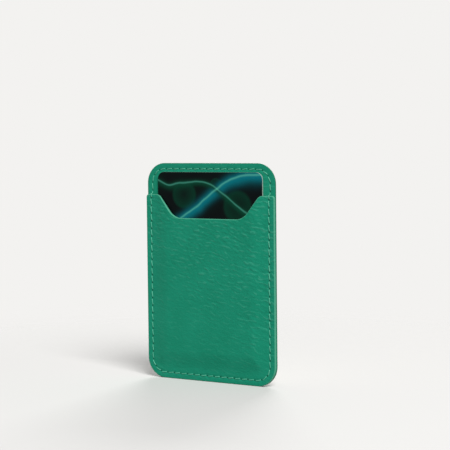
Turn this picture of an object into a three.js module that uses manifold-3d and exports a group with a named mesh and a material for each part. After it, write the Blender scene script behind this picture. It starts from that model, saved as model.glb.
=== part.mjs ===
import * as THREE from "three";
import { mergeVertices } from "three/addons/utils/BufferGeometryUtils.js";
import Module from "manifold-3d";

// A leather card holder that sticks to a flat face by its tape, with one bank-size card in it.
// A formed front pocket with a thumb notch is sewn on a taller back panel and a thin rear lining
// by one lockstitch seam that runs all the way round, and a foam tape on the rear holds it.
// All sizes are in millimetres. The origin is the middle of the tape's rear face, +Z is up
// and the front looks along -Y. The pieces are made flat: x right, y up, z towards the front.

// The card, of the size that all bank cards share
const cardWidth = 53.98;
const cardHeight = 85.6;
const cardThickness = 0.76;
const cardCorner = 3.18;

// The leather left round the card, which sets the size of the holder
const sideMargin = 6;
const topMargin = 3.95;
const bottomMargin = 7.45;
const holderCorner = 9;

// The layers, from the taped face outwards
const tapeThickness = 0.5;
const liningThickness = 0.4;
const backThickness = 0.8;
const frontThickness = 1.4;
const edgeRound = 0.2;
const liningInset = 0.35;
const tapeInset = 5.3;
const tapeCorner = 4;

// The pocket's mouth and its thumb notch
const mouthDrop = 14;
const mouthCorner = 1.3;
const notchDepth = 10.45;
const notchMouthWidth = 51.8;
const notchFloorWidth = 35.6;
const notchMouthFillet = 3;
const notchFloorFillet = 7;

// The pocket is pressed out over the card
const cardSideGap = 0.3;
const cardFaceGap = 0.2;
const innerRamp = 1;
const shoulderWidth = 2;
const shoulderLead = 0.3;
const shoulderSteps = 4;

// The seam: a lockstitch, sunk in a pressed channel on both faces
const seamInset = 2.6;
const stitchLength = 3.5;
const threadDiameter = 0.5;
const threadSides = 5;
const frontThreadRise = 0.05;
const rearThreadRise = 0.12;
const threadGap = 0.05;
const lockGap = 0.02;
const strandAlong = 0.15;
const strandAcross = 0.27;
const channelWidth = 1.5;

const arcSteps = 4;
const beyond = 3;
const samePoint = 1e-4;

// Sizes that follow
const holderWidth = cardWidth + 2 * sideMargin;
const holderHeight = cardHeight + topMargin + bottomMargin;
const holderHalf = holderWidth / 2;
const holderTop = holderHeight / 2;
const cardTop = holderTop - topMargin;
const cardBottom = cardTop - cardHeight;
const mouthLevel = holderTop - mouthDrop;
const notchFloor = mouthLevel - notchDepth;
const pocketDepth = cardThickness + cardFaceGap;
const threadRadius = threadDiameter / 2;

// Heights above the taped face
const liningRear = tapeThickness;
const backRear = liningRear + liningThickness;
const frontRear = backRear + backThickness;
const frontFace = frontRear + frontThickness;
const frontChannelDepth = threadRadius - frontThreadRise + threadGap;
const rearChannelDepth = threadRadius - rearThreadRise + threadGap;

const wasm = await Module();
wasm.setup();

// Solids and the cuts between them

function solidOf(geometry) {
  const bare = geometry.clone();
  bare.deleteAttribute("normal");
  bare.deleteAttribute("uv");
  const merged = mergeVertices(bare, samePoint);
  return new wasm.Manifold(
    new wasm.Mesh({
      numProp: 3,
      vertProperties: merged.attributes.position.array,
      triVerts: new Uint32Array(merged.index.array),
    }),
  );
}

function geometryOf(solid) {
  const mesh = solid.getMesh();
  const geometry = new THREE.BufferGeometry();
  geometry.setAttribute("position", new THREE.BufferAttribute(mesh.vertProperties, 3));
  geometry.setIndex(new THREE.BufferAttribute(mesh.triVerts, 1));
  geometry.computeVertexNormals();
  return geometry;
}

function cutAll(solid, tools) {
  return tools.reduce((left, tool) => left.subtract(tool), solid);
}

// A closed outline through corners [x, y, radius], each corner rounded by an arc that is tangent
// to both of its sides.
function filletedOutline(corners) {
  const outline = new THREE.Shape();
  corners.forEach(([x, y, radius], i) => {
    const corner = new THREE.Vector2(x, y);
    const before = corners.at(i - 1);
    const after = corners[(i + 1) % corners.length];
    const towards = new THREE.Vector2(before[0] - x, before[1] - y).normalize();
    const onwards = new THREE.Vector2(after[0] - x, after[1] - y).normalize();
    const halfAngle = Math.acos(THREE.MathUtils.clamp(towards.dot(onwards), -1, 1)) / 2;
    const start = corner.clone().addScaledVector(towards, radius / Math.tan(halfAngle));
    const end = corner.clone().addScaledVector(onwards, radius / Math.tan(halfAngle));
    const centre = towards.clone().add(onwards).setLength(radius / Math.sin(halfAngle)).add(corner);
    const from = start.clone().sub(centre).angle();
    const to = end.clone().sub(centre).angle();
    const clockwise = towards.cross(onwards) > 0;
    if (i === 0) outline.moveTo(start.x, start.y);
    else outline.lineTo(start.x, start.y);
    outline.absarc(centre.x, centre.y, radius, from, to, clockwise);
  });
  outline.closePath();
  return outline;
}

function roundedRectangle(half, bottom, top, radius) {
  return filletedOutline([
    [-half, bottom, radius],
    [half, bottom, radius],
    [half, top, radius],
    [-half, top, radius],
  ]);
}

// A flat sheet with its rear face at z 0, its cut edges eased by edge on both faces.
function sheet(outline, thickness, edge = 0) {
  const geometry = new THREE.ExtrudeGeometry(outline, {
    depth: thickness - 2 * edge,
    curveSegments: arcSteps,
    bevelEnabled: edge > 0,
    bevelThickness: edge,
    bevelSize: edge,
    bevelOffset: -edge,
    bevelSegments: 1,
  });
  return geometry.translate(0, 0, edge);
}

// The points of a closed outline, each of them once
function ringOf(outline) {
  const points = outline.getPoints(arcSteps);
  return points.filter((point, i) => point.distanceTo(points.at(i - 1)) > samePoint);
}

// A solid with flat ends through outlines of equal point counts, each {outline, z}.
function loft(levels) {
  const rings = levels.map(({ outline }) => ringOf(outline));
  const count = rings[0].length;
  const positions = levels.flatMap(({ z }, i) => rings[i].flatMap((p) => [p.x, p.y, z]));
  const indices = [];
  for (let level = 0; level < levels.length - 1; level++) {
    for (let i = 0; i < count; i++) {
      const a = level * count + i;
      const b = level * count + ((i + 1) % count);
      indices.push(a, b, b + count, a, b + count, a + count);
    }
  }
  const topRing = (levels.length - 1) * count;
  for (const [a, b, c] of THREE.ShapeUtils.triangulateShape(rings[0], [])) {
    indices.push(c, b, a, topRing + a, topRing + b, topRing + c);
  }
  const geometry = new THREE.BufferGeometry();
  geometry.setAttribute("position", new THREE.Float32BufferAttribute(positions, 3));
  geometry.setIndex(indices);
  return geometry;
}

// The seam line, clockwise as the front is seen. It starts where it crosses the pocket's mouth on
// the left, runs round the bare strip of the back panel, then round the pocket.

const seamHalf = holderHalf - seamInset;
const seamTop = holderTop - seamInset;
const seamCorner = holderCorner - seamInset;

function seamPath() {
  const path = new THREE.Path();
  const cornerX = seamHalf - seamCorner;
  const cornerY = seamTop - seamCorner;
  path.moveTo(-seamHalf, mouthLevel);
  path.lineTo(-seamHalf, cornerY);
  path.absarc(-cornerX, cornerY, seamCorner, Math.PI, Math.PI / 2, true);
  path.lineTo(cornerX, seamTop);
  path.absarc(cornerX, cornerY, seamCorner, Math.PI / 2, 0, true);
  path.lineTo(seamHalf, mouthLevel);
  path.lineTo(seamHalf, -cornerY);
  path.absarc(cornerX, -cornerY, seamCorner, 0, -Math.PI / 2, true);
  path.lineTo(-cornerX, -seamTop);
  path.absarc(-cornerX, -cornerY, seamCorner, -Math.PI / 2, -Math.PI, true);
  path.lineTo(-seamHalf, mouthLevel);
  return path;
}

const seam = seamPath();
const seamLength = seam.getLength();
const stripLength =
  2 * (seamTop - mouthLevel) + 2 * seamHalf - (4 - Math.PI) * seamCorner;

// The point at a distance along the seam, moved along it and outwards from it.
function seamPoint(distance, along, outward) {
  const share = (distance / seamLength + 1) % 1;
  const point = seam.getPoint(share);
  const tangent = seam.getTangent(share);
  return new THREE.Vector2(
    point.x + tangent.x * along - tangent.y * outward,
    point.y + tangent.y * along + tangent.x * outward,
  );
}

// Needle holes at an even pitch in each run, with half a stitch at both of its ends, so that the
// pocket's mouth always lies in the middle of a stitch.
function runOfHoles(start, length, onPocket) {
  const count = Math.max(1, Math.round(length / stitchLength));
  const pitch = length / count;
  return Array.from({ length: count }, (_, i) => ({
    distance: start + (i + 0.5) * pitch,
    onPocket,
  }));
}

const holes = [
  ...runOfHoles(0, stripLength, false),
  ...runOfHoles(stripLength, seamLength - stripLength, true),
];

// A slanted slit, long enough for the two strands that share it.
function slit(hole) {
  const reach = Math.hypot(strandAlong, strandAcross);
  const long = (reach + threadRadius + threadGap) / reach;
  const wide = (threadRadius + threadGap) / reach;
  const corners = [
    [1, 1],
    [1, -1],
    [-1, -1],
    [-1, 1],
  ].map(([end, side]) =>
    seamPoint(
      hole.distance,
      strandAlong * long * end + strandAcross * wide * side,
      -strandAcross * long * end + strandAlong * wide * side,
    ),
  );
  const height = frontFace + pocketDepth + 2 * beyond;
  return solidOf(sheet(new THREE.Shape(corners), height).translate(0, 0, -beyond));
}

const slits = holes.map(slit);
const pocketSlits = slits.filter((_, i) => holes[i].onPocket);

// The channel that the thread is pulled into, from height upwards.
function channel(height, thickness) {
  const band = roundedRectangle(
    seamHalf + channelWidth / 2,
    -seamTop - channelWidth / 2,
    seamTop + channelWidth / 2,
    seamCorner + channelWidth / 2,
  );
  const island = roundedRectangle(
    seamHalf - channelWidth / 2,
    -seamTop + channelWidth / 2,
    seamTop - channelWidth / 2,
    seamCorner - channelWidth / 2,
  );
  band.holes.push(island);
  return solidOf(sheet(band, thickness).translate(0, 0, height));
}

// The pieces

function card() {
  const outline = roundedRectangle(cardWidth / 2, cardBottom, cardTop, cardCorner);
  return solidOf(sheet(outline, cardThickness));
}

function adhesiveTape() {
  const half = holderHalf - tapeInset;
  const top = holderTop - tapeInset;
  return solidOf(sheet(roundedRectangle(half, -top, top, tapeCorner), tapeThickness));
}

function rearLining() {
  const half = holderHalf - liningInset;
  const top = holderTop - liningInset;
  const outline = roundedRectangle(half, -top, top, holderCorner - liningInset);
  const blank = solidOf(sheet(outline, liningThickness));
  const grooved = blank.subtract(channel(rearChannelDepth - beyond, beyond));
  return cutAll(grooved, slits);
}

function backPanel() {
  const outline = roundedRectangle(holderHalf, -holderTop, holderTop, holderCorner);
  const blank = solidOf(sheet(outline, backThickness, edgeRound));
  const bareStrip = new THREE.Shape([
    new THREE.Vector2(-holderWidth, mouthLevel),
    new THREE.Vector2(holderWidth, mouthLevel),
    new THREE.Vector2(holderWidth, holderHeight),
    new THREE.Vector2(-holderWidth, holderHeight),
  ]);
  const stripChannel = channel(backThickness - frontChannelDepth, beyond).intersect(
    solidOf(sheet(bareStrip, 2 * beyond)),
  );
  return cutAll(blank.subtract(stripChannel), slits);
}

// The outline of the pocket, with the thumb notch in its mouth
function pocketOutline() {
  return filletedOutline([
    [-holderHalf, -holderTop, holderCorner],
    [holderHalf, -holderTop, holderCorner],
    [holderHalf, mouthLevel, mouthCorner],
    [notchMouthWidth / 2, mouthLevel, notchMouthFillet],
    [notchFloorWidth / 2, notchFloor, notchFloorFillet],
    [-notchFloorWidth / 2, notchFloor, notchFloorFillet],
    [-notchMouthWidth / 2, mouthLevel, notchMouthFillet],
    [-holderHalf, mouthLevel, mouthCorner],
  ]);
}

// An outline round the card, spread by a distance and open past the pocket's mouth
function roundCard(spread) {
  return roundedRectangle(
    cardWidth / 2 + spread,
    cardBottom - spread,
    holderTop + beyond,
    cardCorner + spread,
  );
}

// The raised field over the card, whose shoulders roll down to the flat margin
function raisedField() {
  const crown = cardSideGap + shoulderLead;
  const foot = crown + shoulderWidth;
  const levels = [{ outline: roundCard(foot), z: pocketDepth }];
  for (let step = 0; step <= shoulderSteps; step++) {
    const share = step / shoulderSteps;
    const spread = THREE.MathUtils.lerp(foot, crown, share);
    const rise = pocketDepth * THREE.MathUtils.smoothstep(share, 0, 1);
    levels.push({ outline: roundCard(spread), z: frontThickness + rise });
  }
  return solidOf(loft(levels));
}

function cardRoom() {
  return solidOf(
    loft([
      { outline: roundCard(cardSideGap + innerRamp), z: -beyond },
      { outline: roundCard(cardSideGap + innerRamp), z: 0 },
      { outline: roundCard(cardSideGap), z: pocketDepth },
    ]),
  );
}

function frontPocket() {
  const outline = pocketOutline();
  const flat = solidOf(sheet(outline, frontThickness, edgeRound));
  const trim = solidOf(sheet(outline, frontThickness + pocketDepth + beyond));
  const formed = flat.add(raisedField().intersect(trim));
  const hollow = formed.subtract(cardRoom());
  const grooved = hollow.subtract(channel(frontThickness - frontChannelDepth, beyond));
  return cutAll(grooved, pocketSlits);
}

// The thread

// A path that is sampled at its own points, with the mitre direction at each of them
class ThreadPath extends THREE.Curve {
  constructor(points) {
    super();
    this.points = points;
  }

  getUtoTmapping(share) {
    return share;
  }

  getPoint(share) {
    return this.points[Math.round(share * (this.points.length - 1))].clone();
  }

  getTangent(share) {
    const last = this.points.length - 1;
    const i = Math.round(share * last);
    const here = this.points[i];
    const arriving = here.clone().sub(this.points[Math.max(i - 1, 0)]).normalize();
    const leaving = this.points[Math.min(i + 1, last)].clone().sub(here).normalize();
    return arriving.add(leaving).normalize();
  }
}

function threadTube(points) {
  const section = Array.from({ length: threadSides }, (_, i) => {
    const angle = (2 * Math.PI * i) / threadSides;
    return new THREE.Vector2(Math.cos(angle), Math.sin(angle)).multiplyScalar(threadRadius);
  });
  return solidOf(
    new THREE.ExtrudeGeometry(new THREE.Shape(section), {
      steps: points.length - 1,
      extrudePath: new ThreadPath(points),
    }),
  );
}

// The middle of the layers at a hole, where the two threads lock
function lockHeight(hole) {
  return (liningRear + (hole.onPocket ? frontFace : frontRear)) / 2;
}

function threadPoint(distance, along, outward, height) {
  const { x, y } = seamPoint(distance, along, outward);
  return new THREE.Vector3(x, y, height);
}

// The step of a stitch over the cut edge of the pocket's mouth, between its low and high ends
function stepOverMouth(start, end, startHeight, endHeight) {
  const climbing = endHeight > startHeight;
  const edge = climbing ? stripLength : seamLength;
  const foot = edge + (climbing ? -1 : 1) * (threadRadius + threadGap);
  const share = (foot - start) / (end - start);
  const outward = THREE.MathUtils.lerp(-strandAcross, strandAcross, share);
  return [startHeight, endHeight].map((height) => threadPoint(foot, 0, outward, height));
}

// One thread all the way round. Each stitch leaves its slit on the inner side of the seam and
// dips into the next one on the outer side, so that the stitches lie at a slant.
function thread(surfaceHeight, lockedHeight) {
  const points = [];
  holes.forEach((hole, i) => {
    const next = holes[(i + 1) % holes.length];
    const end = i + 1 < holes.length ? next.distance : next.distance + seamLength;
    const startHeight = surfaceHeight(hole);
    const endHeight = surfaceHeight(next);
    points.push(
      threadPoint(hole.distance, strandAlong, -strandAcross, lockedHeight(hole)),
      threadPoint(hole.distance, strandAlong, -strandAcross, startHeight),
    );
    if (startHeight !== endHeight) {
      points.push(...stepOverMouth(hole.distance, end, startHeight, endHeight));
    }
    points.push(
      threadPoint(next.distance, -strandAlong, strandAcross, endHeight),
      threadPoint(next.distance, -strandAlong, strandAcross, lockedHeight(next)),
    );
  });
  return threadTube(points);
}

function needleThread() {
  return thread(
    (hole) => (hole.onPocket ? frontFace : frontRear) + frontThreadRise,
    (hole) => lockHeight(hole) + threadRadius + lockGap,
  );
}

function bobbinThread() {
  return thread(
    () => liningRear - rearThreadRise,
    (hole) => lockHeight(hole) - threadRadius - lockGap,
  );
}

// Materials

const grainLeather = new THREE.MeshStandardMaterial({ color: 0x25836a, roughness: 0.55, metalness: 0 });
const smoothLeather = new THREE.MeshStandardMaterial({ color: 0x23826a, roughness: 0.6, metalness: 0 });
const liningFabric = new THREE.MeshStandardMaterial({ color: 0x2a6f5a, roughness: 0.95, metalness: 0 });
const sewingThread = new THREE.MeshStandardMaterial({ color: 0x55b094, roughness: 0.6, metalness: 0 });
const printedPlastic = new THREE.MeshStandardMaterial({ color: 0x0b1016, roughness: 0.25, metalness: 0 });
const foamTape = new THREE.MeshStandardMaterial({ color: 0xe8e8e4, roughness: 0.85, metalness: 0 });

// The assembly: each sheet is made with its rear face at z 0 and then laid at its height, and the
// threads are made in place.

function piece(name, solid, material, height = 0) {
  const mesh = new THREE.Mesh(geometryOf(solid), material);
  mesh.name = name;
  mesh.position.z = height;
  return mesh;
}

const flatHolder = new THREE.Group();
flatHolder.add(
  piece("adhesive_tape", adhesiveTape(), foamTape),
  piece("rear_lining", rearLining(), liningFabric, liningRear),
  piece("back_panel", backPanel(), smoothLeather, backRear),
  piece("front_pocket", frontPocket(), grainLeather, frontRear),
  piece("card", card(), printedPlastic, frontRear),
  piece("needle_thread", needleThread(), sewingThread),
  piece("bobbin_thread", bobbinThread(), sewingThread),
);
flatHolder.rotation.x = Math.PI / 2;

const cardHolder = new THREE.Group();
cardHolder.add(flatHolder);

export default cardHolder;
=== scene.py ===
from math import cos, exp, floor, pi, radians, sin, sqrt, tan

import bmesh
import bpy
from mathutils import Matrix, Vector, kdtree, noise


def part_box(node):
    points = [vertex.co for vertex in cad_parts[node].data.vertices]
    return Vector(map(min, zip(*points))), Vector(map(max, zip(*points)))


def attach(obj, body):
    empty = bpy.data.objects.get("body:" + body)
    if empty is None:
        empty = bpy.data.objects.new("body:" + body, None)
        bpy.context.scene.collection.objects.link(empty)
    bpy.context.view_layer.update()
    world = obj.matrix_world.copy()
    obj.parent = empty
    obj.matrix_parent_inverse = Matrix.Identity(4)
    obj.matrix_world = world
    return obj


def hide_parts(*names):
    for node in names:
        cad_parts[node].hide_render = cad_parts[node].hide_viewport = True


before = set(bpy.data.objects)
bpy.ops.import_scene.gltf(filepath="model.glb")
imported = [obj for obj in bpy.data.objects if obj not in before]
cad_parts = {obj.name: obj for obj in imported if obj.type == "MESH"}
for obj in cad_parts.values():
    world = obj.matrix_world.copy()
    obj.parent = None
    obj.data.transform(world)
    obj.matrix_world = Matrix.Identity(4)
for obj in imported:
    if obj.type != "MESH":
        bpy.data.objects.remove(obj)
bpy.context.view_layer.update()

mm = 0.001
tiny = 1e-7

# Heights are counted from the tape's rear face, at y 0, towards the front, so that a height h
# lies at y = -h
panelLow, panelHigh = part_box("back_panel")
pocketLow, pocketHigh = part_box("front_pocket")
cardLow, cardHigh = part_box("card")
liningLow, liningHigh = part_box("rear_lining")
tapeLow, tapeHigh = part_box("adhesive_tape")

panelHalf = panelHigh[0]
panelTop = panelHigh[2]
panelFront = -panelLow[1]
panelCorner = 9 * mm
mouthLevel = pocketHigh[2]


# Camera
cameraPlace = {
    "lens": 112,
    "sensor": 36,
    "distance": 614 * mm,
    "turn": radians(31.1),  # to the right of the front
    "rise": radians(3.72),
    "roll": radians(-0.6),
    "target": (7.6 * mm, -panelFront, 21.4 * mm),
}


def makeCamera():
    turn, rise = cameraPlace["turn"], cameraPlace["rise"]
    target = Vector(cameraPlace["target"])
    back = Vector((sin(turn) * cos(rise), -cos(turn) * cos(rise), sin(rise)))
    camera = bpy.data.objects.new("camera", bpy.data.cameras.new("camera"))
    camera.data.lens = cameraPlace["lens"]
    camera.data.sensor_width = cameraPlace["sensor"]
    camera.data.clip_start = 10 * mm
    place = Matrix.Translation(target + back * cameraPlace["distance"])
    aim = back.to_track_quat("Z", "Y").to_matrix().to_4x4()
    camera.matrix_world = place @ aim @ Matrix.Rotation(cameraPlace["roll"], 4, "Z")
    bpy.context.scene.collection.objects.link(camera)
    bpy.context.scene.camera = camera
    print("camera: lens", cameraPlace["lens"], "mm")


# Shader maths
class Value:
    def __init__(self, finish, socket):
        self.finish = finish
        self.socket = socket

    def maths(self, operation, *others, turned=False):
        terms = [self, *others]
        if turned:
            terms.reverse()
        sockets = dict(enumerate(terms))
        return self.finish.node("ShaderNodeMath", {"operation": operation}, sockets)

    def __add__(self, other):
        return self.maths("ADD", other)

    __radd__ = __add__

    def __mul__(self, other):
        return self.maths("MULTIPLY", other)

    __rmul__ = __mul__

    def __sub__(self, other):
        return self.maths("SUBTRACT", other)

    def __rsub__(self, other):
        return self.maths("SUBTRACT", other, turned=True)

    def __truediv__(self, other):
        return self.maths("DIVIDE", other)

    def __rtruediv__(self, other):
        return self.maths("DIVIDE", other, turned=True)

    def __pow__(self, other):
        return self.maths("POWER", other)

    def __neg__(self):
        return self * -1


class Finish:
    def __init__(self, name, kind="materials"):
        self.owner = getattr(bpy.data, kind).new(name)
        self.owner.use_nodes = True
        self.tree = self.owner.node_tree
        self.tree.nodes.clear()

    # Any node: settings come first, then values or links of its sockets, by place or by name
    def node(self, kind, settings=None, sockets=None, output=0):
        made = self.tree.nodes.new(kind)
        for key, value in (settings or {}).items():
            setattr(made, key, value)
        for key, value in (sockets or {}).items():
            socket = made.inputs[key] if isinstance(key, int) else findSocket(made.inputs, key)
            if isinstance(value, Value):
                self.tree.links.new(value.socket, socket)
            else:
                socket.default_value = value
        outputs = made.outputs
        if len(outputs) == 0:
            return made
        found = outputs[output] if isinstance(output, int) else findSocket(outputs, output)
        return Value(self, found)

    def place(self):
        return self.node("ShaderNodeTexCoord", output="Object")

    def parts(self, vector):
        return [self.node("ShaderNodeSeparateXYZ", None, {0: vector}, i) for i in range(3)]

    def stretched(self, vector, scale, shift=(0, 0, 0)):
        sockets = {"Vector": vector, "Scale": scale, "Location": shift}
        return self.node("ShaderNodeMapping", None, sockets)

    def turned(self, vector, angle):
        kind = {"rotation_type": "Y_AXIS"}
        return self.node("ShaderNodeVectorRotate", kind, {"Vector": vector, "Angle": angle})

    def clouds(self, vector, size, detail=2, roughness=0.5, output=0):
        sockets = {"Vector": vector, "Scale": 1 / size, "Detail": detail, "Roughness": roughness}
        return self.node("ShaderNodeTexNoise", None, sockets, output)

    def cells(self, vector, size, feature="DISTANCE_TO_EDGE"):
        sockets = {"Vector": vector, "Scale": 1 / size, "Randomness": 1}
        return self.node("ShaderNodeTexVoronoi", {"feature": feature}, sockets, "Distance")

    def ranged(self, value, low, high, toLow=0, toHigh=1, soft=False):
        kind = {"interpolation_type": "SMOOTHSTEP" if soft else "LINEAR"}
        limits = {"From Min": low, "From Max": high, "To Min": toLow, "To Max": toHigh}
        return self.node("ShaderNodeMapRange", kind, {"Value": value, **limits})

    def mixed(self, share, first, second):
        kind = {"data_type": "RGBA", "clamp_factor": True}
        sockets = {"Factor_Float": share, "A_Color": first, "B_Color": second}
        return self.node("ShaderNodeMix", kind, sockets, "Result_Color")

    def attribute(self, name):
        return self.node("ShaderNodeAttribute", {"attribute_name": name}, output="Fac")

    def bump(self, height, distance):
        return self.node("ShaderNodeBump", None, {"Height": height, "Distance": distance})

    def surface(self, sockets):
        shader = self.node("ShaderNodeBsdfPrincipled", None, sockets)
        self.node("ShaderNodeOutputMaterial", None, {"Surface": shader})
        return self.owner


def findSocket(sockets, key):
    return next((s for s in sockets if s.identifier == key), None) or sockets[key]


# A colour as it is seen on a screen, 0 to 255
def seen(red, green, blue):
    def linear(level):
        share = level / 255
        return share / 12.92 if share <= 0.04045 else ((share + 0.055) / 1.055) ** 2.4

    return (linear(red), linear(green), linear(blue), 1)


# The seam line
seam = {
    "inset": 2.6 * mm,
    "stitch": 3.5 * mm,
    "along": 0.32 * mm,  # how far each strand stands from the middle of its hole
    "across": 0.22 * mm,
    "threadRadius": 0.22 * mm,
    "channelDepth": 0.1 * mm,
    "channelWidth": 0.6 * mm,
    "reach": 2.4 * mm,  # beyond it the seam pulls nothing
    "dimpleDepth": 0.1 * mm,
    "dimpleWidth": 0.7 * mm,
    "holeNarrow": 1.5,  # the holes are longer along the seam than across
}
seamHalf = panelHalf - seam["inset"]
seamTop = panelTop - seam["inset"]
seamCorner = panelCorner - seam["inset"]
seamRuns = [2 * (seamTop - seamCorner), 2 * (seamHalf - seamCorner)] * 2
seamArc = seamCorner * pi / 2
seamLength = sum(seamRuns) + 4 * seamArc
stripLength = 2 * (seamTop - mouthLevel) + 2 * seamHalf - (4 - pi) * seamCorner


# The place and heading at a distance along the seam, which starts at the pocket's mouth on the
# left and runs clockwise as the front is seen
def seamPlace(distance):
    left = (distance + mouthLevel + seamTop - seamCorner) % seamLength
    start = Vector((-seamHalf, -seamTop + seamCorner))
    heading = Vector((0, 1))
    for run in seamRuns:
        inward = Vector((heading.y, -heading.x))
        if left <= run:
            return start + heading * left, heading
        left -= run
        turning = start + heading * run + inward * seamCorner
        if left <= seamArc:
            angle = left / seamCorner
            offset = heading * sin(angle) - inward * cos(angle)
            return turning + offset * seamCorner, heading * cos(angle) + inward * sin(angle)
        left -= seamArc
        start = turning + heading * seamCorner
        heading = inward
    return start, heading


def seamPoint(distance, outward):
    place, heading = seamPlace(distance)
    return place + Vector((-heading.y, heading.x)) * outward


def holeDistances():
    holes = []
    for start, length in ((0, stripLength), (stripLength, seamLength - stripLength)):
        count = round(length / seam["stitch"])
        holes += [start + (i + 0.5) * length / count for i in range(count)]
    return holes


holes = holeDistances()
holeSpots = [seamPlace(distance) for distance in holes]
holeTree = kdtree.KDTree(len(holes))
for index, (spot, heading) in enumerate(holeSpots):
    holeTree.insert((spot.x, 0, spot.y), index)
holeTree.balance()


# Distances in the plane of the panels
def boxDistance(x, z, half, bottom, top, corner):
    acrossX = abs(x) - (half - corner)
    acrossZ = abs(z - (top + bottom) / 2) - ((top - bottom) / 2 - corner)
    outside = sqrt(max(acrossX, 0) ** 2 + max(acrossZ, 0) ** 2)
    return outside + min(max(acrossX, acrossZ), 0) - corner


def smooth(low, high, value):
    share = min(max((value - low) / (high - low), 0), 1)
    return share * share * (3 - 2 * share)


def seamDistance(x, z):
    return boxDistance(x, z, seamHalf, -seamTop, seamTop, seamCorner)


# How deep the pulled seam sinks the leather: a soft channel, with a dimple at each hole
def seamSink(x, z):
    near = abs(seamDistance(x, z))
    if near > seam["reach"]:
        return 0
    channel = exp(-((near / seam["channelWidth"]) ** 2))
    dimple = exp(-((holeTree.find((x, 0, z))[2] / seam["dimpleWidth"]) ** 2))
    return seam["channelDepth"] * channel + seam["dimpleDepth"] * dimple


# Tells each point where it lies from the seam and between which holes, so that a finish can draw
# the holes sharply; sine and cosine stay even where one hole's reach gives way to the next
def markSeam(bm):
    names = ("seamAcross", "seamSine", "seamCosine")
    across, sine, cosine = (bm.verts.layers.float.new(name) for name in names)
    for vert in bm.verts:
        x, z = vert.co.x, vert.co.z
        vert[across] = seamDistance(x, z) / mm
        spot, heading = holeSpots[holeTree.find((x, 0, z))[1]]
        along = heading.dot(Vector((x, z)) - spot) * 2 * pi / seam["stitch"]
        vert[sine] = sin(along)
        vert[cosine] = cos(along)


def seamHoles(f, size):
    turn = f.attribute("seamSine").maths("ARCTAN2", f.attribute("seamCosine"))
    along = turn * (seam["stitch"] / (2 * pi * mm))
    across = f.attribute("seamAcross")
    far = (along * along + across * across * seam["holeNarrow"]).maths("SQRT")
    return f.ranged(far, size * 0.5 / mm, size / mm, 1, 0, soft=True)


# Meshes
def newPiece(name, bm, *materials):
    mesh = bpy.data.meshes.new(name)
    bm.to_mesh(mesh)
    bm.free()
    return newObject(name, mesh, *materials)


def newObject(name, mesh, *materials):
    piece = bpy.data.objects.new(name, mesh)
    bpy.context.scene.collection.objects.link(piece)
    for material in materials:
        mesh.materials.append(material)
    mesh.shade_smooth()
    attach(piece, "root")
    return piece


# A flat blank of leather or card: corners are (x, z, radius), between two heights
def blank(corners, rear, front, edge, edgeSteps=3, cornerSteps=14):
    bm = bmesh.new()
    points = [bm.verts.new((x, -rear, z)) for x, z, radius in corners]
    bm.faces.new(points)
    for point, (x, z, radius) in zip(points, corners):
        sides = [e.other_vert(point).co - point.co for e in point.link_edges]
        offset = radius / tan(sides[0].angle(sides[1]) / 2)
        bmesh.ops.bevel(bm, geom=[point], offset=offset, offset_type="OFFSET", affect="VERTICES",
                        segments=cornerSteps, profile=0.5, material=-1)
    grown = bmesh.ops.extrude_face_region(bm, geom=bm.faces[:])
    fresh = [g for g in grown["geom"] if isinstance(g, bmesh.types.BMVert)]
    bmesh.ops.translate(bm, vec=(0, rear - front, 0), verts=fresh)
    bmesh.ops.recalc_face_normals(bm, faces=bm.faces[:])
    rims = [e for e in bm.edges if abs(e.verts[0].co.y - e.verts[1].co.y) < tiny]
    if edge > 0:
        bmesh.ops.bevel(bm, geom=rims, offset=edge, offset_type="OFFSET", affect="EDGES",
                        segments=edgeSteps, profile=0.5, material=-1)
    return bm


# Cuts a blank by planes across one axis, working upwards, so that each cut only meets what is
# still whole
def sliceBlank(bm, axis, levels):
    normal = Vector([float(i == axis) for i in range(3)])
    rest = bm.faces[:]
    for level in sorted(levels):
        geom = set(rest)
        for face in rest:
            geom.update(face.edges)
            geom.update(face.verts)
        cut = bmesh.ops.bisect_plane(bm, geom=list(geom), dist=tiny, plane_co=normal * level,
                                     plane_no=normal)
        faces = [g for g in cut["geom"] if isinstance(g, bmesh.types.BMFace)]
        rest = [f for f in faces if f.calc_center_median()[axis] > level]


def roundedCorners(half, bottom, top, radius):
    return [(x, z, radius) for x, z in ((-half, bottom), (half, bottom), (half, top), (-half, top))]


def steps(low, high, spacing):
    count = max(1, round((high - low) / spacing))
    return [low + (high - low) * i / count for i in range(1, count)]


# Leather
leather = {
    "colour": seen(15, 136, 106),
    # painted shade for the grain's valleys and folds
    "creaseShade": seen(9, 121, 93),
    "light": seen(21, 143, 113),
    # painted highlight laid along the ripple ridges, where light would catch the grain
    "sheenRidge": seen(62, 160, 132),
    # painted shade for the needle holes, which the mesh only dents
    "hole": seen(2, 62, 42),
    "holeSize": 0.37 * mm,
    "patchSize": 14 * mm,
    "rippleSpacing": 2 * mm,
    "pebbleWide": 2.6 * mm,
    "pebbleHigh": 1.5 * mm,
    "pebbleRise": 0.09 * mm,
    "wrinkleWide": 5 * mm,
    "wrinkleHigh": 1.7 * mm,
    "wrinkleRise": 0.07 * mm,
    "warpSize": 3.6 * mm,
    "lean": 0.22,  # how far the grain falls to the right
    "pebbleWarp": 0.7,
    "pebbleValley": 0.6,  # how wide the valleys between pebbles are
    "pebbleDome": 0.4,
    "wrinkleWarp": 0.6,
    "tightShare": 0.3,  # the grain that is left where the hide is tight
    "tightBelow": -34 * mm,
    "looseAbove": 16 * mm,
    "looseLean": 0.7,
    "grainFrom": 0.6,  # shares of the thickness: where the grain starts, and the cut edge's band
    "cutFrom": 0.1,
    "cutTo": 0.97,
    "swirlSize": 2.6 * mm,
    "poreSize": 0.2 * mm,
    "foldSize": 1.1 * mm,
    "swellSize": 4.5 * mm,
    "gapSize": 2.1 * mm,  # of the breaks in the ripples
    "acrossSpacing": 0.45 * mm,
    "upSpacing": 0.34 * mm,
}
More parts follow.
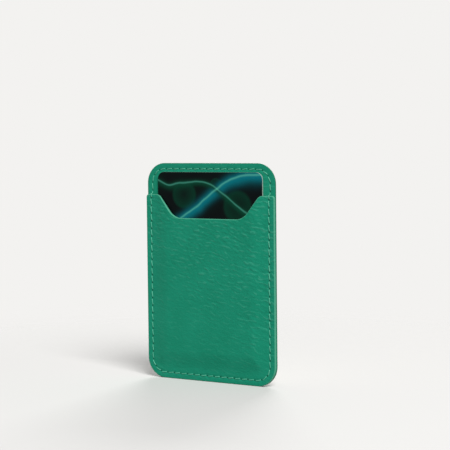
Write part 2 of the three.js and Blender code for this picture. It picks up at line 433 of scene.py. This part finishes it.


# The grain is deepest in the upper right, where the hide was loosest
# in the colour this mask also sets where the painted shade and painted highlight of the grain are
# strongest
def looseness(x, z):
    drift = noise.noise(Vector((x, 4, z)) / leather["patchSize"]) * leather["patchSize"]
    level = leather["looseLean"] * x + z + drift
    tight = leather["tightShare"]
    return tight + (1 - tight) * smooth(leather["tightBelow"], leather["looseAbove"], level)


# How far the grain stands up: low pebbles, longer across than up, crossed by long soft wrinkles
def grainHeight(x, z):
    warp = noise.noise_vector(Vector((x, 0, z)) / leather["warpSize"])
    fallen = z + leather["lean"] * x
    cell = Vector((x / leather["pebbleWide"], 0, fallen / leather["pebbleHigh"]))
    near, far = noise.voronoi(cell + warp * leather["pebbleWarp"])[0][:2]
    dome = 1 - leather["pebbleDome"] * near
    pebble = smooth(0, leather["pebbleValley"], far - near) * dome - 1
    fold = Vector((x / leather["wrinkleWide"], 7, fallen / leather["wrinkleHigh"]))
    wrinkle = -2 * abs(noise.noise(fold + warp * leather["wrinkleWarp"]))
    return looseness(x, z) * (pebble * leather["pebbleRise"] + wrinkle * leather["wrinkleRise"])


def markLeather(bm, rear, thickness):
    cut, loose = (bm.verts.layers.float.new(name) for name in ("cut", "loose"))
    for vert in bm.verts:
        share = (-vert.co.y - rear) / thickness
        vert[cut] = smooth(0, leather["cutFrom"], share) * (1 - smooth(leather["cutTo"], 1, share))
        vert[loose] = looseness(vert.co.x, vert.co.z)


# Bent cells, folds and broken ripples, all stronger where the hide is looser. The colour gets
# painted shade in the cells' valleys and the folds, and a painted highlight along the ripples, both
# strongest where the loose mask is high, in the upper right
def leatherFinish(name, size):
    f = Finish(name)
    place = f.place()
    loose = f.attribute("loose")
    hole = seamHoles(f, leather["holeSize"])
    swirl = f.clouds(place, leather["swirlSize"], output=1)
    warp = f.node("ShaderNodeVectorMath", {"operation": "SCALE"}, {0: swirl, "Scale": size["warp"]})
    bent = f.node("ShaderNodeVectorMath", {"operation": "ADD"}, {0: place, 1: warp})
    cells = f.cells(f.stretched(bent, (0.7, 0.8, 1.1)), size["pebble"])
    fine = f.ranged(cells, 0, 0.3, soft=True)
    pores = f.clouds(place, leather["poreSize"], 3, 0.6)
    slanted = f.turned(bent, size["slant"])
    folds = f.clouds(f.stretched(slanted, (0.4, 0.8, 1.2)), leather["foldSize"], 3, 0.55)
    level = f.parts(slanted)[2] / leather["rippleSpacing"]
    swell = f.clouds(f.stretched(place, (0.7, 1, 1)), leather["swellSize"]) * size["swell"]
    ripple = (((level + swell) * (2 * pi)).maths("SINE") * 0.5 + 0.5) ** 4
    gaps = f.clouds(f.stretched(place, (0.6, 1, 1.2), (4, 0, 9)), leather["gapSize"], 1)
    # the ripple ridges rise in the bump and get a painted highlight in the colour
    sheenRidge = ripple * f.ranged(gaps, 0.42, 0.66, soft=True) * loose
    height = fine * 0.25 + folds * 0.55 + pores * 0.2 + sheenRidge * 0.55 - hole * 2
    patches = f.clouds(place, leather["patchSize"], 3, 0.55)
    colour = f.mixed(f.ranged(patches, 0.35, 0.7), leather["colour"], leather["light"])
    # painted shade: the valleys between the cells and the folds are darkened where shade would lie
    dipShade = f.ranged(fine, 0, 0.8, size["creaseShade"], 0) + f.ranged(folds, 0.3, 0.55, size["creaseShade"], 0)
    colour = f.mixed(dipShade * loose, colour, leather["creaseShade"])
    # painted highlight along the ripple ridges
    colour = f.mixed(sheenRidge * size["sheenRidge"], colour, leather["sheenRidge"])
    # the cut edge colour: on the pocket pale edge paint with a painted highlight in it, on the
    # panel painted shade
    colour = f.mixed(f.attribute("cut"), colour, size["cutEdge"])
    # painted shade: the needle holes darkened as if shade lay inside them
    colour = f.mixed(hole * 0.9, colour, leather["hole"])
    rough = f.ranged(folds, 0.3, 0.7, size["roughness"] + 0.1, size["roughness"])
    return f.surface({
        "Base Color": colour,
        "Roughness": rough + pores * 0.06,
        "Normal": f.bump(height, size["height"]),
        "Specular IOR Level": 0.17,
    })


# The pocket in front and the panel behind it
panel = {
    "edge": 0.2 * mm,
    "grainShare": 0.35,  # of the pocket's grain
    "clear": 2 * mm,  # where the grain fades out beside the card
    "overlap": 6 * mm,  # how far the fine mesh goes on behind the pocket
    "hiddenSpacing": 2 * mm,
    "finish": {
        # painted shade: the crease share sets how much the grain's valleys and folds are darkened
        "pebble": 0.8 * mm, "warp": 0.9 * mm, "slant": 0, "swell": 1.6, "creaseShade": 0.12,
        # painted highlight: the streak share sets how much the ripple ridges are lightened
        "sheenRidge": 0.2, "cutEdge": seen(20, 112, 84), "roughness": 0.46, "height": 0.06 * mm,
    # the cut edge colour above is darker than the panel's face: painted shade for the edge lying in
    # shade behind the pocket
    },
}
pocket = {
    "edge": 0.35 * mm,
    "mouthCorner": 1.3 * mm,
    "notchMouth": 25.9 * mm,  # half widths of the thumb notch
    "notchFloor": 17.8 * mm,
    "notchDepth": 10.45 * mm,
    "notchMouthRound": 3 * mm,
    "notchFloorRound": 7 * mm,
    "thickness": 1.4 * mm,
    "openTop": 80 * mm,  # far above the mouth, so that the field runs out through it
    "roomCorner": 3.18 * mm,
    "roomSide": 0.3 * mm,  # the room left beside the card, inside
    "roomRamp": 1 * mm,
    "crown": -6 * mm,  # where the raised field is full and where it ends, outside the card's sides
    "foot": 3.2 * mm,
    "finish": {
        # painted shade: the crease share sets how much the grain's valleys and folds are darkened
        "pebble": 0.9 * mm, "warp": 1.1 * mm, "slant": radians(-13), "swell": 2.6, "creaseShade": 0.16,
        # painted highlight: the streak share sets how much the ripple ridges are lightened
        "sheenRidge": 0.6, "cutEdge": seen(76, 160, 130), "roughness": 0.42, "height": 0.09 * mm,
    # the pale cut edge colour above is edge paint, lightened to stand in for the highlight along
    # the lit edges
    },
}


def pocketForm(x, z):
    reach = boxDistance(x, z, cardHigh[0], cardLow[2], pocket["openTop"], pocket["roomCorner"])
    depth = -pocketLow[1] - panelFront - pocket["thickness"]
    outer = depth * (1 - smooth(pocket["crown"], pocket["foot"], reach))
    ramp = pocket["roomSide"] + pocket["roomRamp"]
    inner = depth * (1 - min(max((reach - pocket["roomSide"]) / pocket["roomRamp"], 0), 1))
    return outer, inner if reach < ramp else 0


def makePocket():
    low, half, floorLevel = pocketLow[2], panelHalf, mouthLevel - pocket["notchDepth"]
    corners = [
        (-half, low, panelCorner),
        (half, low, panelCorner),
        (half, mouthLevel, pocket["mouthCorner"]),
        (pocket["notchMouth"], mouthLevel, pocket["notchMouthRound"]),
        (pocket["notchFloor"], floorLevel, pocket["notchFloorRound"]),
        (-pocket["notchFloor"], floorLevel, pocket["notchFloorRound"]),
        (-pocket["notchMouth"], mouthLevel, pocket["notchMouthRound"]),
        (-half, mouthLevel, pocket["mouthCorner"]),
    ]
    rear, thickness = panelFront, pocket["thickness"]
    bm = blank(corners, rear, rear + thickness, pocket["edge"])
    sliceBlank(bm, 0, steps(-half, half, leather["acrossSpacing"]))
    sliceBlank(bm, 2, steps(low, mouthLevel, leather["upSpacing"]))
    markSeam(bm)
    markLeather(bm, rear, thickness)
    for vert in bm.verts:
        x, z = vert.co.x, vert.co.z
        share = (-vert.co.y - rear) / thickness
        outer, inner = pocketForm(x, z)
        grain = grainHeight(x, z) if share > leather["grainFrom"] else 0
        front = outer - seamSink(x, z) + grain
        vert.co.y -= front * share + inner * (1 - share)
    piece = newPiece("pocket_leather", bm, leatherFinish("pebbledLeather", pocket["finish"]))
    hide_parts("front_pocket")
    print("pocket:", len(piece.data.polygons), "faces")


def makePanel():
    half, top, rear = panelHalf, panelTop, -panelHigh[1]
    thickness = panelFront - rear
    bm = blank(roundedCorners(half, -top, top, panelCorner), rear, panelFront, panel["edge"])
    sliceBlank(bm, 0, steps(-half, half, leather["acrossSpacing"]))
    hidden = mouthLevel - panel["overlap"]
    levels = steps(-top, hidden, panel["hiddenSpacing"])
    sliceBlank(bm, 2, levels + steps(hidden, top, leather["upSpacing"]))
    markSeam(bm)
    markLeather(bm, rear, thickness)
    for vert in bm.verts:
        x, z = vert.co.x, vert.co.z
        share = (-vert.co.y - rear) / thickness
        bare = z > mouthLevel
        sink = seamSink(x, z) if bare else 0
        beyond = boxDistance(x, z, cardHigh[0], cardLow[2], cardHigh[2], pocket["roomCorner"])
        clear = smooth(0, panel["clear"], beyond) * panel["grainShare"]
        grained = bare and share > leather["grainFrom"]
        grain = clear * grainHeight(x, z) if grained else 0
        vert.co.y -= (grain - sink) * share
    piece = newPiece("panel_leather", bm, leatherFinish("smoothLeather", panel["finish"]))
    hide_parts("back_panel")
    print("panel:", len(piece.data.polygons), "faces")


# The lining behind
lining = {
    "colour": seen(38, 96, 78),
    "fibre": seen(62, 124, 104),
    "spacing": 0.6 * mm,
    "inset": 0.35 * mm,
    "edge": 0.08 * mm,
    "unevenness": 0.02 * mm,
    "holeSize": 0.6 * mm,
    "fibreSize": 0.22 * mm,
    "crossSize": 0.26 * mm,
    "napSize": 7 * mm,
    "napRise": 0.09 * mm,
}


def liningFinish():
    f = Finish("feltLining")
    place = f.place()
    hole = seamHoles(f, lining["holeSize"])
    fibres = f.clouds(f.stretched(place, (1, 1, 0.45)), lining["fibreSize"], 4, 0.7)
    crossing = f.stretched(place, (0.4, 1, 1), (3, 0, 5))
    cross = f.clouds(crossing, lining["crossSize"], 4, 0.7)
    nap = f.clouds(place, lining["napSize"], 3, 0.6)
    web = f.ranged(fibres * 0.5 + cross * 0.5, 0.36, 0.66)
    colour = f.mixed(web * 0.55 + nap * 0.3, lining["colour"], lining["fibre"])
    # painted shade: the needle holes darkened, as on the leather
    colour = f.mixed(hole * 0.85, colour, leather["hole"])
    return f.surface({
        "Base Color": colour,
        "Roughness": f.ranged(web, 0, 1, 0.86, 0.97),
        "Normal": f.bump(web + nap * 0.4, lining["napRise"]),
        "Specular IOR Level": 0.25,
        "Sheen Weight": 0.35,
        "Sheen Roughness": 0.5,
    })


def makeLining():
    half, top = liningHigh[0], liningHigh[2]
    rear, front = -liningHigh[1], -liningLow[1]
    corner = panelCorner - lining["inset"]
    bm = blank(roundedCorners(half, -top, top, corner), rear, front, lining["edge"], 2)
    sliceBlank(bm, 0, steps(-half, half, lining["spacing"]))
    sliceBlank(bm, 2, steps(-top, top, lining["spacing"]))
    markSeam(bm)
    for vert in bm.verts:
        x, z = vert.co.x, vert.co.z
        share = 1 - (-vert.co.y - rear) / (front - rear)
        uneven = noise.noise(Vector((x / mm, 3, z / mm)) * 0.8) * lining["unevenness"]
        vert.co.y -= (seamSink(x, z) + abs(uneven)) * share
    piece = newPiece("lining_felt", bm, liningFinish())
    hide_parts("rear_lining")
    width, length = 2 * half, 2 * top
    width * length - (4 - pi) * corner**2
    print("lining:", len(piece.data.polygons), "faces")


# Adhesive tape
tape = {
    "colour": seen(228, 226, 216),
    "pore": seen(204, 200, 188),
    "corner": 4 * mm,
    "edge": 0.1 * mm,
    "spacing": 1.2 * mm,
    "poreSize": 0.32 * mm,
    "poreDepth": 0.03 * mm,
    "swellSize": 9 * mm,
}


def tapeFinish():
    f = Finish("foamTape")
    place = f.place()
    pores = f.cells(place, tape["poreSize"], "F1")
    swell = f.clouds(place, tape["swellSize"], 3, 0.6)
    pits = f.ranged(pores, 0.15, 0.5, soft=True)
    shade = f.ranged(pores, 0.2, 0.6, 0.65, 0) + swell * 0.2
    return f.surface({
        "Base Color": f.mixed(shade, tape["colour"], tape["pore"]),
        "Roughness": f.ranged(swell, 0.3, 0.7, 0.42, 0.6),
        "Normal": f.bump(pits + swell * 3, tape["poreDepth"]),
    })


def makeTape():
    half, top = tapeHigh[0], tapeHigh[2]
    rear, front = -tapeHigh[1], -tapeLow[1]
    bm = blank(roundedCorners(half, -top, top, tape["corner"]), rear, front, tape["edge"], 2)
    sliceBlank(bm, 0, steps(-half, half, tape["spacing"]))
    sliceBlank(bm, 2, steps(-top, top, tape["spacing"]))
    piece = newPiece("foam_tape", bm, tapeFinish())
    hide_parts("adhesive_tape")
    print("tape:", len(piece.data.polygons), "faces")


# Sewing thread
thread = {
    "colour": seen(90, 182, 152),
    "shade": seen(64, 160, 132),
    "plies": 3,
    "lay": 2.1 * mm,  # the length of one turn of the twist
    "samples": 24,
    "ringPoints": 12,
    "groove": 0.16,
    "frontCrown": -0.08 * mm,
    "rearCrown": -0.02 * mm,
    "dive": 0.75 * mm,
    "ramp": 0.6 * mm,  # where it climbs onto the pocket
    "sharpness": 6,  # of its turn into a hole
    "hairSize": 0.07 * mm,
    "hairRise": 0.02 * mm,
    "toneSize": 1.6 * mm,
}


def threadFinish():
    f = Finish("sewingThread")
    place = f.place()
    hairs = f.clouds(f.stretched(place, (1, 1, 0.6)), thread["hairSize"], 3, 0.6)
    tone = f.clouds(place, thread["toneSize"])
    lit = f.ranged(hairs * 0.6 + tone * 0.4, 0.35, 0.65)
    return f.surface({
        "Base Color": f.mixed(lit, thread["shade"], thread["colour"]),
        "Roughness": f.ranged(hairs, 0.3, 0.7, 0.45, 0.65),
        "Normal": f.bump(hairs, thread["hairRise"]),
        "Specular IOR Level": 0.5,
    })


# The leather's height under the front thread, which steps up over the pocket's mouth
def frontHeight(distance):
    up = smooth(stripLength - thread["ramp"], stripLength, distance)
    down = smooth(seamLength, seamLength + thread["ramp"], distance)
    return panelFront + pocket["thickness"] * (up - down)


# The points of one thread: over each stitch it rises out of one hole on the inner side of the
# seam and dives into the next on the outer side
def threadPoints(surface, side, crown):
    points = []
    for index, start in enumerate(holes):
        end = holes[index + 1] if index + 1 < len(holes) else holes[0] + seamLength
        for step in range(thread["samples"]):
            share = (1 - cos(pi * step / (thread["samples"] - 1))) / 2
            along = start + seam["along"] + (end - start - 2 * seam["along"]) * share
            outward = seam["across"] * (2 * share - 1)
            dip = (thread["dive"] + crown) * abs(2 * share - 1) ** thread["sharpness"]
            place = seamPoint(along % seamLength, outward)
            height = surface(along) + side * (crown - dip)
            points.append(Vector((place.x, -height, place.y)))
    return points


def pliedRing():
    ring = bpy.data.curves.new("plies", "CURVE")
    spline = ring.splines.new("POLY")
    count = thread["ringPoints"]
    spline.points.add(count - 1)
    for index, point in enumerate(spline.points):
        angle = 2 * pi * index / count
        groove = thread["groove"] * (1 - cos(thread["plies"] * angle)) / 2
        reach = seam["threadRadius"] * (1 - groove)
        point.co = (reach * cos(angle), reach * sin(angle), 0, 1)
    spline.use_cyclic_u = True
    ringObject = bpy.data.objects.new("plies", ring)
    bpy.context.scene.collection.objects.link(ringObject)
    return ringObject


def makeThread(name, node, points, finish):
    curve = bpy.data.curves.new(name, "CURVE")
    curve.dimensions = "3D"
    curve.twist_mode = "MINIMUM"
    curve.bevel_mode = "OBJECT"
    curve.bevel_object = pliedRing()
    spline = curve.splines.new("POLY")
    spline.points.add(len(points) - 1)
    lengths = [(b - a).length for a, b in zip(points, points[1:] + points[:1])]
    turns = floor(sum(lengths) / thread["lay"])
    gone = 0
    for point, place, length in zip(spline.points, points, lengths):
        point.co = (*place, 1)
        point.tilt = 2 * pi * turns * gone / sum(lengths)
        gone += length
    spline.use_cyclic_u = True
    route = bpy.data.objects.new(name + "_route", curve)
    bpy.context.scene.collection.objects.link(route)
    bpy.context.view_layer.update()
    shaped = route.evaluated_get(bpy.context.evaluated_depsgraph_get())
    mesh = bpy.data.meshes.new_from_object(shaped)
    mesh.name = name
    for used in (curve.bevel_object, route):
        bpy.data.objects.remove(used, do_unlink=True)
    mesh.materials.clear()
    piece = newObject(name, mesh, finish)
    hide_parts(node)
    print(name + ":", len(mesh.polygons), "faces")


# Card
card = {
    "corner": 3.18 * mm,
    "dark": seen(5, 7, 11),
    "deepGreen": seen(2, 66, 46),
    "teal": seen(4, 118, 130),
    "mint": seen(96, 198, 172),
    "core": seen(166, 178, 170),
    "coreShade": seen(138, 152, 144),
    "edge": 0.06 * mm,
    "driftSize": 16 * mm,
    "scuffSize": 1.1 * mm,
    "scuffDepth": 0.004 * mm,
    "layerSize": 0.8 * mm,
    "layerRise": 0.01 * mm,
    "middle": 34,  # the height of the picture's middle, in millimetres as all that follows
    "waveHeight": 3.2,
    "sway": 5,
    "ribbons": {  # level, lean, start and rate of its wave, width
        "broad": (-2, 0.42, 0.4, 0.11, 2.8),
        "middle": (1.5, -0.28, 1.9, 0.14, 1.6),
        "thin": (-1.2, 0.42, 0.4, 0.11, 0.5),
        "fine": (2.1, -0.28, 1.9, 0.14, 0.4),
    },
    "glows": ((-13, 0.5, 6.5, 0.6), (14.5, -4.5, 7.5, 0.55), (3.5, 5.2, 3, 0.45)),
}


# Soft ribbons of light that sweep across the card, with a few faint round glows
def printFinish():
    f = Finish("cardPrint")
    parts = f.parts(f.place())
    across, up = parts[0] / mm, parts[2] / mm - card["middle"]
    drift = f.clouds(f.place(), card["driftSize"]) - 0.5

    def ribbon(name):
        level, lean, bend, reach, width = card["ribbons"][name]
        wave = (across * reach + bend).maths("SINE") * card["waveHeight"]
        gap = (up - across * lean - wave - drift * card["sway"] - level) / width
        return (-(gap * gap)).maths("EXPONENT")

    def glow(centreX, centreZ, radius, strength):
        farX = (across - centreX) / radius
        farZ = (up - centreZ) / radius
        far = (farX * farX + farZ * farZ).maths("SQRT")
        rim = f.ranged(far, 0, 1, 0.15 * strength, strength)
        return f.ranged(far, 0.8, 1.05, 1, 0, soft=True) * rim

    first, second, third = (glow(*values) for values in card["glows"])
    colour = f.mixed(f.ranged(drift, -0.2, 0.3, 0, 0.12), card["dark"], card["deepGreen"])
    colour = f.mixed(first + second + third, colour, card["deepGreen"])
    colour = f.mixed(ribbon("broad") * 0.9, colour, card["teal"])
    colour = f.mixed(ribbon("middle") * 0.8, colour, card["deepGreen"])
    colour = f.mixed(ribbon("thin") * 0.5 + ribbon("fine") * 0.35, colour, card["mint"])
    scuffs = f.clouds(f.stretched(f.place(), (0.25, 1, 1)), card["scuffSize"], 4, 0.65)
    return f.surface({
        "Base Color": colour,
        "Roughness": f.ranged(scuffs, 0.4, 0.75, 0.2, 0.34),
        "Normal": f.bump(scuffs, card["scuffDepth"]),
        "Specular IOR Level": 0.05,
    })


def coreFinish():
    f = Finish("cardCore")
    layers = f.clouds(f.stretched(f.place(), (1, 9, 1)), card["layerSize"], 3, 0.6)
    return f.surface({
        "Base Color": f.mixed(f.ranged(layers, 0.3, 0.7), card["core"], card["coreShade"]),
        "Roughness": f.ranged(layers, 0.3, 0.7, 0.5, 0.62),
        "Normal": f.bump(layers, card["layerRise"]),
    })


def makeCard():
    corners = roundedCorners(cardHigh[0], cardLow[2], cardHigh[2], card["corner"])
    bm = blank(corners, -cardHigh[1], -cardLow[1], card["edge"], 2, 20)
    for face in bm.faces:
        face.material_index = 0 if abs(face.normal.y) > 0.5 else 1
    piece = newPiece("bank_card", bm, printFinish(), coreFinish())
    # the two large faces stay flat
    for polygon in piece.data.polygons:
        polygon.use_smooth = len(polygon.vertices) <= 4 and abs(polygon.normal.y) < 0.99
    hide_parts("card")
    print("card:", len(piece.data.polygons), "faces")


# Floor, lights and world
studio = {
    "pale": seen(243, 242, 240),
    "floor": seen(218, 217, 215),
    "floorBounce": seen(168, 167, 165),
    "floorReach": 300 * mm,
    "floorSides": 96,
    "fadeFrom": 0.3,  # shares of the floor's reach
    "fadeTo": 0.95,
    "ambient": 0.285,
    "lamps": {  # place and width in metres, power in watts
        "key": ((1.5, -1.25, 1.85), 1.5, 80),
        "rear": ((-0.6, 1.6, 0.9), 1.1, 23),
    },
}


# The floor keeps the shadow and fades into the world before its rim
def makeFloor():
    bm = bmesh.new()
    bmesh.ops.create_circle(bm, cap_ends=True, radius=studio["floorReach"],
                            segments=studio["floorSides"])
    bmesh.ops.translate(bm, vec=(0, 0, panelLow[2]), verts=bm.verts[:])
    mesh = bpy.data.meshes.new("floor")
    bm.to_mesh(mesh)
    bm.free()
    f = Finish("paleFloor")
    parts = f.parts(f.place())
    reach = (parts[0] * parts[0] + parts[1] * parts[1]).maths("SQRT") / studio["floorReach"]
    straight = f.node("ShaderNodeLightPath", output="Is Camera Ray")
    colour = f.mixed(straight, studio["floorBounce"], studio["floor"])
    lit = f.node("ShaderNodeBsdfDiffuse", None, {"Color": colour})
    away = f.node("ShaderNodeBsdfTransparent")
    fade = f.ranged(reach, studio["fadeFrom"], studio["fadeTo"], soft=True)
    faded = f.node("ShaderNodeMixShader", None, {0: fade, 1: lit, 2: away})
    f.node("ShaderNodeOutputMaterial", None, {"Surface": faded})
    mesh.materials.append(f.owner)
    floorObject = bpy.data.objects.new("floor", mesh)
    bpy.context.scene.collection.objects.link(floorObject)


def makeLight(name, place, size, power):
    light = bpy.data.objects.new(name, bpy.data.lights.new(name, "AREA"))
    light.data.shape = "DISK"
    light.data.size = size
    light.data.energy = power
    place = Vector(place)
    turned = place.to_track_quat("Z", "Y").to_matrix().to_4x4()
    light.matrix_world = Matrix.Translation(place) @ turned
    bpy.context.scene.collection.objects.link(light)


def makeWorld():
    f = Finish("studio", "worlds")
    straight = f.node("ShaderNodeLightPath", output="Is Camera Ray")
    through = f.node("ShaderNodeLightPath", output="Is Transmission Ray")
    white = {"Color": (1, 1, 1, 1), "Strength": studio["ambient"]}
    soft = f.node("ShaderNodeBackground", None, white)
    pale = f.node("ShaderNodeBackground", None, {"Color": studio["pale"], "Strength": 1})
    mirrored = f.node("ShaderNodeLightPath", output="Is Glossy Ray")
    seenAsIs = straight.maths("MAXIMUM", through).maths("MAXIMUM", mirrored)
    mix = f.node("ShaderNodeMixShader", None, {0: seenAsIs, 1: soft, 2: pale})
    f.node("ShaderNodeOutputWorld", None, {"Surface": mix})
    bpy.context.scene.world = f.owner


def makeStudio():
    makeFloor()
    for name, values in studio["lamps"].items():
        makeLight(name, *values)
    makeWorld()
    bpy.context.scene.view_settings.view_transform = "Standard"
    print("studio: floor, world and", len(studio["lamps"]), "lamps")


makeCamera()
makePanel()
makePocket()
makeLining()
makeTape()
threadCoat = threadFinish()
frontRoute = threadPoints(frontHeight, 1, thread["frontCrown"])
rearRoute = threadPoints(lambda distance: -liningHigh[1], -1, thread["rearCrown"])
makeThread("front_thread", "needle_thread", frontRoute, threadCoat)
makeThread("rear_thread", "bobbin_thread", rearRoute, threadCoat)
makeCard()
makeStudio()
